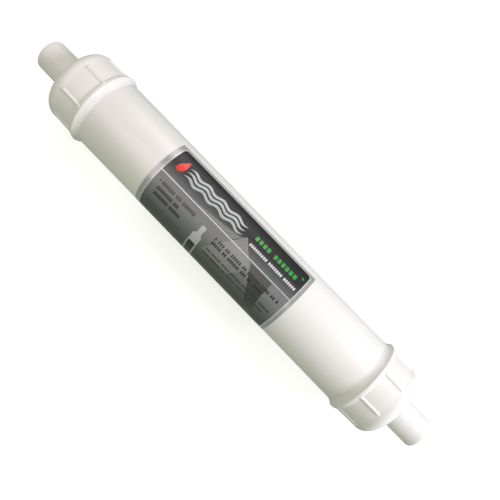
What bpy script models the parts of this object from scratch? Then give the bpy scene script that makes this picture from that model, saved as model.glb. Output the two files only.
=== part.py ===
"""Inline water filter: a straight plastic tube of granular carbon between two welded end caps.

The filter lies along X with its centre at the origin. Water enters at -X and leaves at +X.
Each end cap carries a push-fit port for a 6.35 mm (1/4 inch) water line: a collet that slides
in its retainer, a toothed grip ring, a spacer and an O-ring, in that order from the mouth.

Angles around the filter are measured from +Z towards +Y. All lengths are in metres.
"""

import math

import bmesh
import bpy
from mathutils import Matrix, Vector

# Driving dimensions
TUBE_RADIUS = 0.0250
TUBE_WALL = 0.0025
TUBE_HALF_LENGTH = 0.1200
RIM_X = 0.1145            # the cap's open rim, from the filter's centre
PORT_FACE_X = 0.1703      # the flat mouth of each port, from the filter's centre
FIT_GAP = 0.0003          # between two pieces that touch

# Smoothness of round pieces
BODY_SEGMENTS = 40
PORT_SEGMENTS = 24
RING_SEGMENTS = 10        # around the section of an O-ring

# End cap, measured outwards from its rim
LIP_EDGE = 0.0003         # the flat edge of the rim, next to the tube
BEAD_RADIUS = 0.0273
BEAD_CREST_X = 0.0038
BEAD_SLOPE = ((0.0020, 0.0262), (0.0033, 0.0271))   # (x, radius): a hollow rise to the crest
BEAD_END = 0.0043
BEAD_END_RADIUS = 0.0271
STRIP_START = 0.0046
STRIP_END = 0.0061
STRIP_RADIUS = 0.02685
RECESS_START = 0.0063
RECESS_START_RADIUS = 0.0260
RECESS_END = 0.0209
RECESS_END_RADIUS = 0.0254
SHOULDER_START = 0.0212
SHOULDER_RADIUS = 0.0260
SHOULDER_ROUND = 0.0060
CAP_FRONT = 0.0283
CAP_FRONT_RISE = 0.0010   # the front is a shallow cone that rises towards the port
CAP_FRONT_WALL = 0.0028
CAP_INNER_RADIUS = 0.0228
WELD_GROOVE_DEPTH = 0.0058
WEB_END = 0.0080          # end of the web that carries the pilot skirt
PILOT_INNER_RADIUS = 0.0202
PILOT_REACH = 0.0035      # how far the pilot skirt reaches past the rim into the tube

# Grip ribs on the cap
RIB_COUNT = 8
RIB_WIDTH = 0.0023
RIB_DROP = 0.00015        # how far a rib's top lies below the strip and the shoulder it joins
RIB_ROOT_RADIUS = 0.0246
RIB_OVERLAP = 0.0004      # how far a rib runs into the strip and the shoulder
RIB_PHASE = math.radians(2.5)

# Port, measured inwards from its mouth
BOSS_RADIUS = 0.0107
BOSS_ROOT_RADIUS = 0.0109
BOSS_ROOT_ROUND = 0.0020
BOSS_EDGE_ROUND = 0.0020
RETAINER_BORE_RADIUS = 0.0078
RETAINER_BORE_DEPTH = 0.0115
SEAL_BORE_RADIUS = 0.0053
SEAL_BORE_DEPTH = 0.0156
LINE_SEAT_RADIUS = 0.0033
LINE_SEAT_DEPTH = 0.0175
FLOW_RADIUS = 0.0022

# Port pieces
RETAINER_FACE_DEPTH = 0.0012
RETAINER_END_DEPTH = 0.0112
RETAINER_THROAT_RADIUS = 0.00465
RETAINER_THROAT_DEPTH = 0.0050
RETAINER_CONE_DEPTH = 0.0064
RETAINER_INNER_RADIUS = 0.0056
COLLET_FLANGE_RADIUS = 0.0056
COLLET_FLANGE_TOP = 0.0017
COLLET_FLANGE_UNDERSIDE = 0.0004
COLLET_FLANGE_ROUND = 0.0004
COLLET_LEAD_IN = 0.0005   # the bore's chamfer, which leads the water line in
COLLET_BARREL_RADIUS = 0.00435
COLLET_BORE_RADIUS = 0.0033
COLLET_CONE_DEPTH = 0.0052
COLLET_HEAD_RADIUS = 0.0052
COLLET_HEAD_START_DEPTH = 0.0066
COLLET_END_DEPTH = 0.0089
COLLET_SLOT_WIDTH = 0.0009
COLLET_SLOT_START_DEPTH = 0.0025
SLOT_OVERSHOOT = 0.0010   # how far a slot's cutter reaches past the collet
GRIP_RING_DEPTH = 0.0092
GRIP_RING_THICKNESS = 0.0004
GRIP_RING_RADIUS = 0.0050
GRIP_ROOT_RADIUS = 0.0036
GRIP_TOOTH_RADIUS = 0.0031
GRIP_TEETH = 8
SPACER_DEPTH = 0.0119
SPACER_THICKNESS = 0.0010
SPACER_INNER_RADIUS = 0.00345
SEAL_RING_CENTRE_DEPTH = 0.0143
SEAL_RING_MEAN_RADIUS = 0.0040
SEAL_RING_SECTION_RADIUS = 0.0010

# What the tube holds, outwards from the carbon bed
FILL_RADIUS = TUBE_RADIUS - TUBE_WALL - FIT_GAP
PLATE_THICKNESS = 0.0025
PAD_THICKNESS = 0.0080
CLOTH_THICKNESS = 0.0007
PLATE_HOLE_RADIUS = 0.0011
PLATE_HOLE_RINGS = ((0.0055, 6), (0.0110, 12), (0.0165, 18))
PLATE_HOLE_SEGMENTS = 8

# Label, wrapped round the tube
LABEL_START_X = -0.0617
LABEL_END_X = 0.0538
LABEL_TOP_ANGLE = math.radians(55.5)
LABEL_WRAP = math.radians(270.0)
LABEL_THICKNESS = 0.0002
LABEL_STEPS = 36

SHOULDER_STEPS = 4
EDGE_STEPS = 3
SHARP_ANGLE = math.radians(30.0)

MATERIALS = {
    # name: (colour, roughness, metallic)
    "white_plastic": ((0.86, 0.85, 0.82), 0.32, 0.0),
    "natural_plastic": ((0.80, 0.79, 0.74), 0.40, 0.0),
    "acetal": ((0.78, 0.78, 0.76), 0.35, 0.0),
    "stainless_steel": ((0.60, 0.60, 0.61), 0.25, 1.0),
    "seal_rubber": ((0.02, 0.02, 0.02), 0.60, 0.0),
    "felt": ((0.84, 0.84, 0.80), 0.95, 0.0),
    "carbon": ((0.02, 0.02, 0.022), 0.85, 0.0),
    "label_film": ((0.16, 0.15, 0.16), 0.30, 0.0),
}


def clear_scene():
    for old in list(bpy.data.objects):
        bpy.data.objects.remove(old)


def make_materials():
    made = {}
    for name, (colour, roughness, metallic) in MATERIALS.items():
        material = bpy.data.materials.new(name)
        material.use_nodes = True
        shader = material.node_tree.nodes["Principled BSDF"]
        shader.inputs["Base Color"].default_value = (*colour, 1.0)
        shader.inputs["Roughness"].default_value = roughness
        shader.inputs["Metallic"].default_value = metallic
        made[name] = material
    return made


def arc(centre, radius, start, end, steps):
    """Points of an arc in the (x, radius) plane, from one angle to another in degrees."""
    points = []
    for step in range(steps + 1):
        angle = math.radians(start + (end - start) * step / steps)
        points.append((centre[0] + radius * math.cos(angle), centre[1] + radius * math.sin(angle)))
    return points


def object_from(name, mesh_data, material):
    """Makes the object of a bmesh, shades it and gives it its material."""
    bmesh.ops.remove_doubles(mesh_data, verts=mesh_data.verts, dist=1e-7)
    bmesh.ops.recalc_face_normals(mesh_data, faces=mesh_data.faces)
    mesh = bpy.data.meshes.new(name)
    mesh_data.to_mesh(mesh)
    mesh_data.free()
    mesh.shade_smooth()
    mesh.set_sharp_from_angle(angle=SHARP_ANGLE)
    if material:
        mesh.materials.append(material)
    made = bpy.data.objects.new(name, mesh)
    bpy.context.collection.objects.link(made)
    return made


def turned(name, outline, segments, material):
    """Turns a closed outline of (x, radius) points round the X axis."""
    mesh_data = bmesh.new()
    points = [mesh_data.verts.new((x, 0.0, radius)) for x, radius in outline]
    edges = [mesh_data.edges.new((a, b)) for a, b in zip(points, points[1:] + points[:1])]
    bmesh.ops.spin(
        mesh_data, geom=points + edges, cent=(0, 0, 0), axis=(1, 0, 0), dvec=(0, 0, 0),
        angle=2 * math.pi, steps=segments, use_merge=True,
    )
    return object_from(name, mesh_data, material)


def disc(name, start, thickness, radius, segments, material):
    """A solid round disc or rod along X, from start to start + thickness."""
    mesh_data = bmesh.new()
    lie_down = Matrix.Rotation(math.pi / 2, 4, "Y")
    centre = Matrix.Translation((start + thickness / 2, 0, 0))
    bmesh.ops.create_cone(
        mesh_data, cap_ends=True, segments=segments, radius1=radius, radius2=radius,
        depth=thickness, matrix=centre @ lie_down,
    )
    return object_from(name, mesh_data, material)


def block(mesh_data, size, centre, turn):
    """Adds a box of that size to a bmesh: centred, then turned about X."""
    about_x = Matrix.Rotation(turn, 4, "X")
    bmesh.ops.create_cube(
        mesh_data, size=1.0, matrix=about_x @ Matrix.Translation(centre) @ Matrix.Diagonal((*size, 1.0)),
    )


def boolean(target, tool, operation):
    """Adds a Boolean modifier whose tool is hidden from the render."""
    modifier = target.modifiers.new(operation.lower(), "BOOLEAN")
    modifier.operation = operation
    modifier.object = tool
    tool.hide_render = True
    tool.display_type = "WIRE"


def cap_outline():
    """The end cap's section, with x measured outwards from its rim."""
    mouth = PORT_FACE_X - RIM_X
    outside = [
        (0.0, TUBE_RADIUS + FIT_GAP + LIP_EDGE),
        *BEAD_SLOPE,
        (BEAD_CREST_X, BEAD_RADIUS),
        (BEAD_END, BEAD_END_RADIUS),
        (STRIP_START, STRIP_RADIUS),
        (STRIP_END, STRIP_RADIUS),
        (RECESS_START, RECESS_START_RADIUS),
        (RECESS_END, RECESS_END_RADIUS),
        (SHOULDER_START, SHOULDER_RADIUS),
    ]
    shoulder_centre = (CAP_FRONT - SHOULDER_ROUND, SHOULDER_RADIUS - SHOULDER_ROUND)
    outside += arc(shoulder_centre, SHOULDER_ROUND, 90, 0, SHOULDER_STEPS)
    root_centre = (CAP_FRONT + CAP_FRONT_RISE + BOSS_ROOT_ROUND, BOSS_ROOT_RADIUS + BOSS_ROOT_ROUND)
    outside += arc(root_centre, BOSS_ROOT_ROUND, 180, 270, EDGE_STEPS)
    edge_centre = (mouth - BOSS_EDGE_ROUND, BOSS_RADIUS - BOSS_EDGE_ROUND)
    outside += arc(edge_centre, BOSS_EDGE_ROUND, 90, 0, EDGE_STEPS)
    inner_front = CAP_FRONT - CAP_FRONT_WALL
    bore = [
        (mouth, RETAINER_BORE_RADIUS),
        (mouth - RETAINER_BORE_DEPTH, RETAINER_BORE_RADIUS),
        (mouth - RETAINER_BORE_DEPTH, SEAL_BORE_RADIUS),
        (mouth - SEAL_BORE_DEPTH, SEAL_BORE_RADIUS),
        (mouth - SEAL_BORE_DEPTH, LINE_SEAT_RADIUS),
        (mouth - LINE_SEAT_DEPTH, LINE_SEAT_RADIUS),
        (mouth - LINE_SEAT_DEPTH, FLOW_RADIUS),
        (inner_front, FLOW_RADIUS),
    ]
    inner_round = SHOULDER_ROUND - CAP_FRONT_WALL / 2
    inside = arc((inner_front - inner_round, CAP_INNER_RADIUS - inner_round), inner_round, 0, 90, EDGE_STEPS)
    inside += [
        (WEB_END, CAP_INNER_RADIUS),
        (WEB_END, PILOT_INNER_RADIUS),
        (-PILOT_REACH, PILOT_INNER_RADIUS),
        (-PILOT_REACH, FILL_RADIUS),
        (WELD_GROOVE_DEPTH, FILL_RADIUS),
        (WELD_GROOVE_DEPTH, TUBE_RADIUS + FIT_GAP),
        (0.0, TUBE_RADIUS + FIT_GAP),
    ]
    return outside + bore + inside


def rib(mesh_data, angle):
    """Adds one tapered rib to a bmesh: a side profile given a width, then turned about X."""
    start, end = STRIP_END - RIB_OVERLAP, SHOULDER_START + RIB_OVERLAP
    profile = [
        (start, RIB_ROOT_RADIUS), (end, RIB_ROOT_RADIUS),
        (end, SHOULDER_RADIUS - RIB_DROP), (start, STRIP_RADIUS - RIB_DROP),
    ]
    about_x = Matrix.Rotation(-angle, 3, "X")
    sides = []
    for across in (-RIB_WIDTH / 2, RIB_WIDTH / 2):
        sides.append([mesh_data.verts.new(about_x @ Vector((x, across, z))) for x, z in profile])
    near, far = sides
    mesh_data.faces.new(near)
    mesh_data.faces.new(reversed(far))
    for index in range(len(profile)):
        after = (index + 1) % len(profile)
        mesh_data.faces.new((near[after], near[index], far[index], far[after]))


def cap_ribs(name, phase):
    """The grip ribs that stand in the recessed band, as one tool for a Boolean union."""
    mesh_data = bmesh.new()
    for index in range(RIB_COUNT):
        rib(mesh_data, (index + 0.5) * 2 * math.pi / RIB_COUNT + phase)
    return object_from(name, mesh_data, None)


def end_cap(name, phase, material):
    cap = turned(name, cap_outline(), BODY_SEGMENTS, material)
    ribs = cap_ribs(name + "_ribs_tool", phase)
    boolean(cap, ribs, "UNION")
    ribs.parent = cap
    return cap


def retainer_outline():
    """The collet's retainer, with x measured outwards from the port's mouth."""
    outer = RETAINER_BORE_RADIUS - FIT_GAP
    return [
        (-RETAINER_FACE_DEPTH, outer),
        (-RETAINER_END_DEPTH, outer),
        (-RETAINER_END_DEPTH, RETAINER_INNER_RADIUS),
        (-RETAINER_CONE_DEPTH, RETAINER_INNER_RADIUS),
        (-RETAINER_THROAT_DEPTH, RETAINER_THROAT_RADIUS),
        (-RETAINER_FACE_DEPTH, RETAINER_THROAT_RADIUS),
    ]


def collet_outline():
    """The collet: a flange to press, a plain barrel, and fingers with a thick head."""
    return [
        (COLLET_FLANGE_TOP, COLLET_BORE_RADIUS + COLLET_LEAD_IN),
        (COLLET_FLANGE_TOP, COLLET_FLANGE_RADIUS - COLLET_FLANGE_ROUND),
        (COLLET_FLANGE_TOP - COLLET_FLANGE_ROUND, COLLET_FLANGE_RADIUS),
        (COLLET_FLANGE_UNDERSIDE, COLLET_FLANGE_RADIUS),
        (COLLET_FLANGE_UNDERSIDE, COLLET_BARREL_RADIUS),
        (-COLLET_CONE_DEPTH, COLLET_BARREL_RADIUS),
        (-COLLET_HEAD_START_DEPTH, COLLET_HEAD_RADIUS),
        (-COLLET_END_DEPTH, COLLET_HEAD_RADIUS),
        (-COLLET_END_DEPTH, COLLET_BORE_RADIUS),
        (COLLET_FLANGE_TOP - COLLET_LEAD_IN, COLLET_BORE_RADIUS),
    ]


def collet(name, material):
    made = turned(name, collet_outline(), PORT_SEGMENTS, material)
    length = COLLET_END_DEPTH + SLOT_OVERSHOOT - COLLET_SLOT_START_DEPTH
    size = (length, 2 * (COLLET_HEAD_RADIUS + SLOT_OVERSHOOT), COLLET_SLOT_WIDTH)
    centre = (-COLLET_SLOT_START_DEPTH - length / 2, 0, 0)
    for index, turn in enumerate((0.0, math.pi / 2)):
        mesh_data = bmesh.new()
        block(mesh_data, size, centre, turn)
        slot = object_from(f"{name}_slot_tool_{index}", mesh_data, None)
        boolean(made, slot, "DIFFERENCE")
        slot.parent = made
    return made


def grip_ring(name, material):
    """A flat stainless ring whose teeth point inwards at the water line."""
    mesh_data = bmesh.new()
    outer, inner = [], []
    steps_per_tooth = 4
    steps = GRIP_TEETH * steps_per_tooth
    for step in range(steps):
        angle = 2 * math.pi * step / steps
        across = (math.sin(angle), math.cos(angle))
        on_tooth = step % steps_per_tooth == 0
        inner_radius = GRIP_TOOTH_RADIUS if on_tooth else GRIP_ROOT_RADIUS
        outer.append(mesh_data.verts.new((0, GRIP_RING_RADIUS * across[0], GRIP_RING_RADIUS * across[1])))
        inner.append(mesh_data.verts.new((0, inner_radius * across[0], inner_radius * across[1])))
    for step in range(steps):
        after = (step + 1) % steps
        mesh_data.faces.new((outer[step], outer[after], inner[after], inner[step]))
    sides = bmesh.ops.extrude_face_region(mesh_data, geom=mesh_data.faces[:])
    moved = [item for item in sides["geom"] if isinstance(item, bmesh.types.BMVert)]
    bmesh.ops.translate(mesh_data, verts=moved, vec=(GRIP_RING_THICKNESS, 0, 0))
    bmesh.ops.translate(mesh_data, verts=mesh_data.verts, vec=(-GRIP_RING_DEPTH - GRIP_RING_THICKNESS, 0, 0))
    return object_from(name, mesh_data, material)


def spacer_outline():
    outer = SEAL_BORE_RADIUS - FIT_GAP
    near, far = -SPACER_DEPTH, -SPACER_DEPTH - SPACER_THICKNESS
    return [(near, outer), (far, outer), (far, SPACER_INNER_RADIUS), (near, SPACER_INNER_RADIUS)]


def seal_ring_outline():
    centre = (-SEAL_RING_CENTRE_DEPTH, SEAL_RING_MEAN_RADIUS)
    return arc(centre, SEAL_RING_SECTION_RADIUS, 0, 360, RING_SEGMENTS)[:-1]


def tube(name, material):
    bore = TUBE_RADIUS - TUBE_WALL
    outline = [
        (-TUBE_HALF_LENGTH, TUBE_RADIUS), (TUBE_HALF_LENGTH, TUBE_RADIUS),
        (TUBE_HALF_LENGTH, bore), (-TUBE_HALF_LENGTH, bore),
    ]
    return turned(name, outline, BODY_SEGMENTS, material)


def perforated_plate(name, start, material):
    """A disc with rings of small holes, which holds the fill back and spreads the water."""
    plate = disc(name, start, PLATE_THICKNESS, FILL_RADIUS, BODY_SEGMENTS, material)
    mesh_data = bmesh.new()
    lie_down = Matrix.Rotation(math.pi / 2, 4, "Y")
    middle = start + PLATE_THICKNESS / 2
    for ring_radius, count in PLATE_HOLE_RINGS:
        for index in range(count):
            angle = 2 * math.pi * index / count
            centre = Vector((middle, ring_radius * math.sin(angle), ring_radius * math.cos(angle)))
            bmesh.ops.create_cone(
                mesh_data, cap_ends=True, segments=PLATE_HOLE_SEGMENTS, radius1=PLATE_HOLE_RADIUS,
                radius2=PLATE_HOLE_RADIUS, depth=2 * PLATE_THICKNESS,
                matrix=Matrix.Translation(centre) @ lie_down,
            )
    holes = object_from(name + "_holes_tool", mesh_data, None)
    boolean(plate, holes, "DIFFERENCE")
    holes.parent = plate
    return plate


def label(name, material):
    """A thin film wrapped round the tube, from its top edge over the front and under the tube."""
    mesh_data = bmesh.new()
    radius = TUBE_RADIUS + FIT_GAP
    inner = []
    for step in range(LABEL_STEPS + 1):
        angle = LABEL_TOP_ANGLE - LABEL_WRAP * step / LABEL_STEPS
        inner.append((radius * math.sin(angle), radius * math.cos(angle)))
    left = [mesh_data.verts.new((LABEL_START_X, y, z)) for y, z in inner]
    right = [mesh_data.verts.new((LABEL_END_X, y, z)) for y, z in inner]
    for step in range(LABEL_STEPS):
        mesh_data.faces.new((left[step], right[step], right[step + 1], left[step + 1]))
    grown = bmesh.ops.extrude_face_region(mesh_data, geom=mesh_data.faces[:])
    for item in grown["geom"]:
        if isinstance(item, bmesh.types.BMVert):
            outwards = Vector((0, item.co.y, item.co.z)).normalized()
            item.co += outwards * LABEL_THICKNESS
    return object_from(name, mesh_data, material)


def place(made, parent):
    made.parent = parent


def add_empty(name, location, turn):
    empty = bpy.data.objects.new(name, None)
    empty.location = location
    empty.rotation_euler = (0, 0, turn)
    empty.empty_display_size = 0.01
    bpy.context.collection.objects.link(empty)
    return empty


def build_end(end, side, materials):
    """One end of the filter. Its empties stand at the cap's rim and at the port's mouth."""
    turn = 0.0 if side > 0 else math.pi
    rim = add_empty(end + "_rim", (side * RIM_X, 0, 0), turn)
    mouth = add_empty(end + "_port", (side * PORT_FACE_X, 0, 0), turn)
    place(end_cap(end + "_cap", side * RIB_PHASE, materials["white_plastic"]), rim)
    build_port(end, mouth, materials)
    build_end_fill(end, rim, materials)


def build_port(end, mouth, materials):
    """The pieces inside the port's boss, from the collet at the mouth to the O-ring."""
    natural = materials["natural_plastic"]
    place(collet(end + "_collet", materials["acetal"]), mouth)
    place(grip_ring(end + "_grip_ring", materials["stainless_steel"]), mouth)
    place(turned(end + "_collet_retainer", retainer_outline(), PORT_SEGMENTS, natural), mouth)
    place(turned(end + "_spacer_ring", spacer_outline(), PORT_SEGMENTS, natural), mouth)
    place(turned(end + "_port_o_ring", seal_ring_outline(), PORT_SEGMENTS, materials["seal_rubber"]), mouth)


def build_end_fill(end, rim, materials):
    """The perforated plate, felt pad and cloth between the cap's pilot skirt and the carbon."""
    plate_start = -PILOT_REACH - FIT_GAP - PLATE_THICKNESS
    pad_start = plate_start - FIT_GAP - PAD_THICKNESS
    cloth_start = pad_start - FIT_GAP - CLOTH_THICKNESS
    place(perforated_plate(end + "_perforated_plate", plate_start, materials["natural_plastic"]), rim)
    pad = disc(end + "_felt_pad", pad_start, PAD_THICKNESS, FILL_RADIUS, BODY_SEGMENTS, materials["felt"])
    cloth = disc(
        end + "_filter_cloth", cloth_start, CLOTH_THICKNESS, FILL_RADIUS, BODY_SEGMENTS, materials["felt"],
    )
    place(pad, rim)
    place(cloth, rim)


def carbon_bed(name, material):
    """The packed granules fill the tube between the two cloths."""
    layers = PILOT_REACH + PLATE_THICKNESS + PAD_THICKNESS + CLOTH_THICKNESS + 4 * FIT_GAP
    half_length = RIM_X - layers
    return disc(name, -half_length, 2 * half_length, FILL_RADIUS, BODY_SEGMENTS, material)


def main():
    clear_scene()
    materials = make_materials()
    tube("housing_tube", materials["white_plastic"])
    label("product_label", materials["label_film"])
    carbon_bed("carbon_bed", materials["carbon"])
    build_end("inlet", -1, materials)
    build_end("outlet", 1, materials)


main()
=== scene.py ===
"""Looks of the inline water filter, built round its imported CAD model.

Fine shells stand for the faceted CAD pieces: the tube, the two moulded caps, the port pieces
and the printed label. The fill inside the tube keeps its CAD shapes. Lengths are in metres. The
filter lies along X with its outlet at +X, and angles round it are measured from +Z towards +Y.
"""

import math

import bmesh
import bpy
from mathutils import Matrix, Vector


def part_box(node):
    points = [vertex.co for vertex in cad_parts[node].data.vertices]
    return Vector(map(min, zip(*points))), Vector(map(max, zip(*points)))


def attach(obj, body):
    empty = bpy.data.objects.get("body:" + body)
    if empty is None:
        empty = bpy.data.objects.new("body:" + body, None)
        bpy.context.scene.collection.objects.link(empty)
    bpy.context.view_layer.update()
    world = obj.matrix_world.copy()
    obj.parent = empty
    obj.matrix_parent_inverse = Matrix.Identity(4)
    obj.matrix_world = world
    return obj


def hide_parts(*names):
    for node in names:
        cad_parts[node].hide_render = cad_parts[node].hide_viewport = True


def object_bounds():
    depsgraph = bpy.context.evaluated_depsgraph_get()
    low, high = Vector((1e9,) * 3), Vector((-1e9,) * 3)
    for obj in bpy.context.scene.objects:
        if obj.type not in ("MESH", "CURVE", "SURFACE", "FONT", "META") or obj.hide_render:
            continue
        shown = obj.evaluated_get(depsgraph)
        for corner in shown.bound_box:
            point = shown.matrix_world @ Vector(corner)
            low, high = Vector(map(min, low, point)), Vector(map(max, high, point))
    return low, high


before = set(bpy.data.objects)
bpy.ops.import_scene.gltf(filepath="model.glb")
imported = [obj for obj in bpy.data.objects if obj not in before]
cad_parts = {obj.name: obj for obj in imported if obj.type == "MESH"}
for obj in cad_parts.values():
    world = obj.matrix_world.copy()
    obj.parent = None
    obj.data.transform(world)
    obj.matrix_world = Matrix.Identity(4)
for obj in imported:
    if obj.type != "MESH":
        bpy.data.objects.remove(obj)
cad_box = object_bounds()

# Sizes read from the CAD model
TUBE_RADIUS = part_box("housing_tube")[1].z
TUBE_HALF_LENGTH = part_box("housing_tube")[1].x
BEAD_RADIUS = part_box("outlet_cap")[1].z
PORT_FACE_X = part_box("outlet_cap")[1].x
PILOT_REACH = 0.0035
RIM_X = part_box("outlet_cap")[0].x + PILOT_REACH
LABEL_START_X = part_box("product_label")[0].x
LABEL_END_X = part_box("product_label")[1].x

# How finely round pieces are made
BODY_COLUMNS = 240
PORT_COLUMNS = 96

# Tube
TUBE_WALL = 0.0025
TUBE_CHAMFER = 0.0003

# End cap, measured outwards from its rim
SKIRT_RADIUS = 0.02503
LIP_RADIUS = 0.02507
BEAD_RISE_START = -0.0010
BEAD_RISE_END = 0.0037
BEAD_RISE_POWER = 1.9
BEAD_RISE_SHARE = 0.95
BEAD_CREST_X = 0.0039
BEAD_CREST_ROUND = 0.0004
STRIP_START = 0.0040
STRIP_START_DROP = 0.00004
STRIP_FALL_POWER = 1.4
STRIP_END = 0.0057
STRIP_END_RADIUS = 0.0269
GROOVE_WALL = 0.0007
BAND_START_RADIUS = 0.0261
BAND_END = 0.0212
BAND_PLAIN_SHARE = 0.93
BAND_END_RADIUS = 0.0256
SHOULDER_STEP_LENGTH = 0.0011
SHOULDER_START = 0.0233
SHOULDER_RADIUS = 0.0257
SHOULDER_ROUND = 0.0062
CAP_FRONT = 0.0303
CAP_FRONT_RISE = 0.0010
CAP_INNER_RADIUS = 0.0228
CAP_INNER_FRONT = 0.0275
CAP_INNER_ROUND = 0.0046
PILOT_RADIUS = 0.0222
PILOT_INNER_RADIUS = 0.0202
WELD_GROOVE_DEPTH = 0.0058
WEB_END = 0.0080
SMALL_ROUND = 0.0003

# Grip ribs, which stand on the band between the bead and the shoulder
RIB_COUNT = 8
RIB_CREST_ANGLE = math.radians(0.45)
RIB_HALF_ANGLE = math.radians(2.9)
RIB_PHASE = math.radians(2.5)
RIB_HEIGHT = 0.00085
RIB_END = 0.0211
RIB_END_LENGTH = 0.0008

# Port, measured inwards from its mouth
BOSS_RADIUS = 0.0107
BOSS_ROOT_RADIUS = 0.0109
BOSS_ROOT_ROUND = 0.0020
BOSS_EDGE_ROUND = 0.0020
RETAINER_BORE_RADIUS = 0.0078
RETAINER_BORE_DEPTH = 0.0115
SEAL_BORE_RADIUS = 0.0053
SEAL_BORE_DEPTH = 0.0156
LINE_SEAT_RADIUS = 0.0033
LINE_SEAT_DEPTH = 0.0175
FLOW_RADIUS = 0.0022

# Label film and inks, as heights above the tube
FILM_BASE = 0.00003
FILM_TOP = 0.00012
INK_THICKNESS = 0.00002
INK_SINK = 0.000005
LABEL_TOP_ANGLE = math.radians(55.5)
LABEL_WRAP = math.radians(270.0)
LABEL_STEP = math.radians(1.5)

SHARP_ANGLE = math.radians(35.0)


# ---------------------------------------------------------------- outlines

def arc(centre, radius, start, end, steps):
    """Points of an arc in the (x, radius) plane, from one angle to another in degrees."""
    points = []
    for step in range(steps + 1):
        angle = math.radians(start + (end - start) * step / steps)
        points.append((centre[0] + radius * math.cos(angle), centre[1] + radius * math.sin(angle)))
    return points


def smooth(value, low, high):
    """0 below low, 1 above high, and a smooth step between them."""
    t = min(max((value - low) / (high - low), 0.0), 1.0)
    return t * t * (3.0 - 2.0 * t)


def rounded_box_outline(x0, x1, r0, r1, radius, steps=3):
    """A ring's section: a rectangle with rounded corners."""
    outline = arc((x1 - radius, r0 + radius), radius, -90, 0, steps)
    outline += arc((x1 - radius, r1 - radius), radius, 0, 90, steps)
    outline += arc((x0 + radius, r1 - radius), radius, 90, 180, steps)
    outline += arc((x0 + radius, r0 + radius), radius, 180, 270, steps)
    return outline


# ---------------------------------------------------------------- meshes

def finished(name, mesh_data, material, body):
    """Makes the piece of a bmesh: smooth where it is round, and riding on its body."""
    bmesh.ops.recalc_face_normals(mesh_data, faces=mesh_data.faces)
    mesh = bpy.data.meshes.new(name)
    mesh_data.to_mesh(mesh)
    mesh_data.free()
    mesh.shade_smooth()
    mesh.set_sharp_from_angle(angle=SHARP_ANGLE)
    mesh.materials.append(material)
    piece = bpy.data.objects.new(name, mesh)
    bpy.context.scene.collection.objects.link(piece)
    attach(piece, body)
    return piece


def even_angles(columns):
    return [2 * math.pi * index / columns for index in range(columns)]


def lathe(outline, angles, shape=None):
    """A bmesh ring: a closed outline of (x, radius, ...) points turned round X.

    shape(point, angle) gives the radius there, for a section that changes round the ring.
    """
    mesh_data = bmesh.new()
    rows = []
    for point in outline:
        row = []
        for angle in angles:
            radius = shape(point, angle) if shape else point[1]
            row.append(mesh_data.verts.new((point[0], radius * math.sin(angle), radius * math.cos(angle))))
        rows.append(row)
    count = len(angles)
    for near, far in zip(rows, rows[1:] + rows[:1]):
        for index in range(count):
            after = (index + 1) % count
            mesh_data.faces.new((near[index], near[after], far[after], far[index]))
    return mesh_data


def move_to_end(mesh_data, side, x):
    """Puts a bmesh made from its own zero outwards at x on that side; -1 is the inlet."""
    if side < 0:
        bmesh.ops.transform(mesh_data, matrix=Matrix.Rotation(math.pi, 4, "Z"), verts=mesh_data.verts)
    bmesh.ops.translate(mesh_data, vec=(side * x, 0, 0), verts=mesh_data.verts)
    return mesh_data


# ---------------------------------------------------------------- materials

def add_node(material, kind, **values):
    """Adds a node. A key is a property of the node, or an input's name with _ for each space."""
    node = material.node_tree.nodes.new(kind)
    for key, value in values.items():
        if hasattr(node, key):
            setattr(node, key, value)
        else:
            node.inputs[key.replace("_", " ")].default_value = value
    return node


def link(material, source, output, target, socket):
    material.node_tree.links.new(source.outputs[output], target.inputs[socket])


def start_material(name, **sockets):
    """A material with its Principled BSDF, whose constant values are set on its own sockets."""
    material = bpy.data.materials.new(name)
    material.use_nodes = True
    shader = material.node_tree.nodes["Principled BSDF"]
    for key, value in sockets.items():
        shader.inputs[key.replace("_", " ")].default_value = value
    return material, shader


def stretched_position(material, stretch):
    """The piece's own coordinates, scaled differently along each axis."""
    position = add_node(material, "ShaderNodeTexCoord")
    mapping = add_node(material, "ShaderNodeMapping", Scale=stretch)
    link(material, position, "Object", mapping, "Vector")
    return mapping


def noise_texture(material, position, scale, detail=3.0, roughness=0.55):
    texture = add_node(material, "ShaderNodeTexNoise", Scale=scale, Detail=detail, Roughness=roughness)
    link(material, position, "Vector", texture, "Vector")
    return texture


def ramp_between(material, factor, output, stops):
    """A colour ramp through (place, colour) stops, driven by a node's output."""
    ramp = add_node(material, "ShaderNodeValToRGB")
    elements = ramp.color_ramp.elements
    while len(elements) < len(stops):
        elements.new(0.5)
    for element, (place, colour) in zip(elements, stops):
        element.position = place
        element.color = (*colour, 1.0)
    link(material, factor, output, ramp, "Fac")
    return ramp


def remap(material, source, output, low, high, new_low, new_high):
    """Maps low..high of a node's output to new_low..new_high."""
    node = add_node(material, "ShaderNodeMapRange")
    node.inputs["From Min"].default_value = low
    node.inputs["From Max"].default_value = high
    node.inputs["To Min"].default_value = new_low
    node.inputs["To Max"].default_value = new_high
    link(material, source, output, node, "Value")
    return node


def add_bump(material, shader, height, output, strength, distance, below=None):
    """Adds a bump from a height texture, over another bump where there is one."""
    bump = add_node(material, "ShaderNodeBump", Strength=strength, Distance=distance)
    link(material, height, output, bump, "Height")
    if below:
        link(material, below, "Normal", bump, "Normal")
    link(material, bump, "Normal", shader, "Normal")
    return bump


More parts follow.
